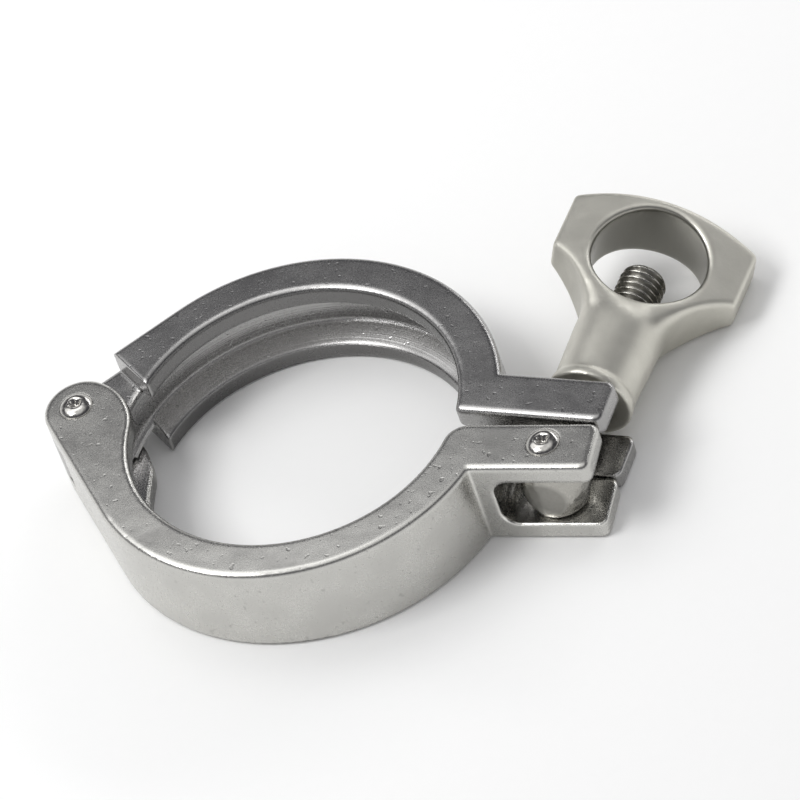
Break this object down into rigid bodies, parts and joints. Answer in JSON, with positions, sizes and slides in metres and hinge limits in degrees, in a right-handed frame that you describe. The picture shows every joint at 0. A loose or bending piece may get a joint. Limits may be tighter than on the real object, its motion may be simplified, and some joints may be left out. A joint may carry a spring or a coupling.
{
  "type": "sanitary hinged clamp",
  "caption": "Hinged two-jaw clamp with a V groove and a closed wing nut on a swing bolt, for joining hygienic pipe ferrules.",
  "frame": {"origin": "centre of the clamped bore, on the pipe's axis at mid height of the ring", "axes": "+Z along the pipe's axis, +X from the hinge towards the lugs, +Y towards the back jaw and the wing nut; the jaws part along the XZ plane"},
  "size_m": [0.1107, 0.0886, 0.0181],
  "materials": {
    "cast_jaw": "tumbled and polished cast stainless steel",
    "pin": "polished stainless steel wire, peened",
    "bolt": "rolled-thread stainless steel",
    "nut": "satin cast stainless steel"
  },
  "bodies": {
    "front": {"front_jaw": "cast_jaw", "hinge_pin": "pin", "bolt_pin": "pin"},
    "back": {"back_jaw": "cast_jaw"},
    "bolt": {"swing_bolt": "bolt"},
    "nut": {"wing_nut": "nut"}
  },
  "joints": [
    {"name": "jaw_hinge", "type": "hinge", "parent": "front", "child": "back", "pos_m": [-0.0388, 0, 0], "axis": [0, 0, 1], "range_deg": [0, 100]},
    {"name": "bolt_swing", "type": "hinge", "parent": "front", "child": "bolt", "pos_m": [0.04531, -0.00435, 0], "axis": [0, 0, -1], "range_deg": [0, 150]},
    {"name": "nut_travel", "type": "slide", "parent": "bolt", "child": "nut", "axis": [0.0924, 0.9957, 0], "range_m": [0, 0.15]}
  ],
  "couplings": [
    {"joint": "nut_travel", "follows": "jaw_hinge", "m_per_rad": 0.085944}
  ]
}
